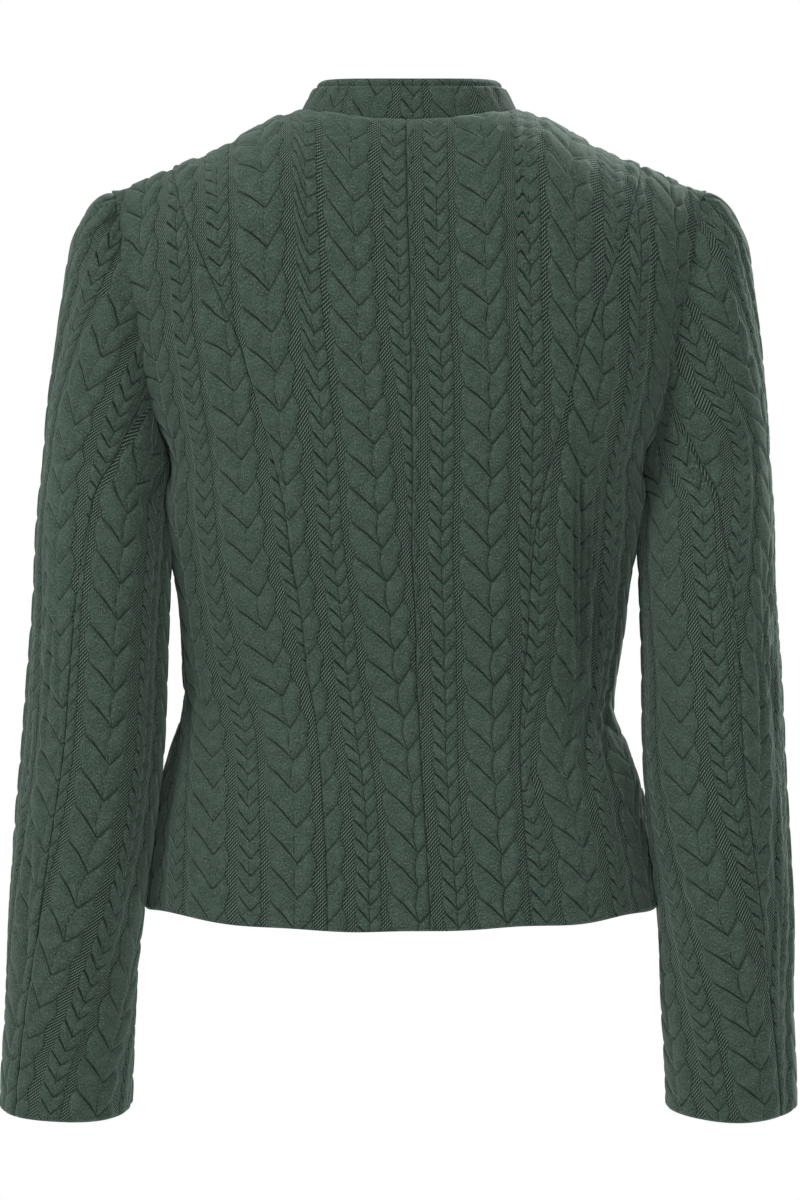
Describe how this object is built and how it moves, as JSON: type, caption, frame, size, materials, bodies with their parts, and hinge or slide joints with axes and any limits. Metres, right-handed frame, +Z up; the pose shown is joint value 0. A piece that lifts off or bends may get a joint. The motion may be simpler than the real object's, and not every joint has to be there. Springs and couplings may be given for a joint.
{
  "type": "fitted sweat jacket",
  "caption": "Fitted sweat jacket in cable-pattern knit with a low stand collar, shaped back seams, long two-piece sleeves and domed front buttons, as worn.",
  "frame": {"origin": "middle of the neck opening at the level of the collar seam, where the jacket hangs on the shoulders and neck", "axes": "+Z up the back; the wearer faces -Y; +X is the wearer's left"},
  "size_m": [0.5359, 0.2445, 0.7009],
  "materials": {
    "cloth": "matt brushed knit, heathered",
    "button": "satin horn look"
  },
  "bodies": {
    "root": {"back_left": "cloth", "side_back_left": "cloth", "side_front_left": "cloth", "front_left": "cloth", "back_right": "cloth", "side_back_right": "cloth", "side_front_right": "cloth", "front_right": "cloth", "top_sleeve_left": "cloth", "under_sleeve_left": "cloth", "top_sleeve_right": "cloth", "under_sleeve_right": "cloth", "collar": "cloth", "button_1": "button", "button_2": "button", "button_3": "button", "button_4": "button", "button_5": "button", "button_6": "button"}
  },
  "joints": []
}
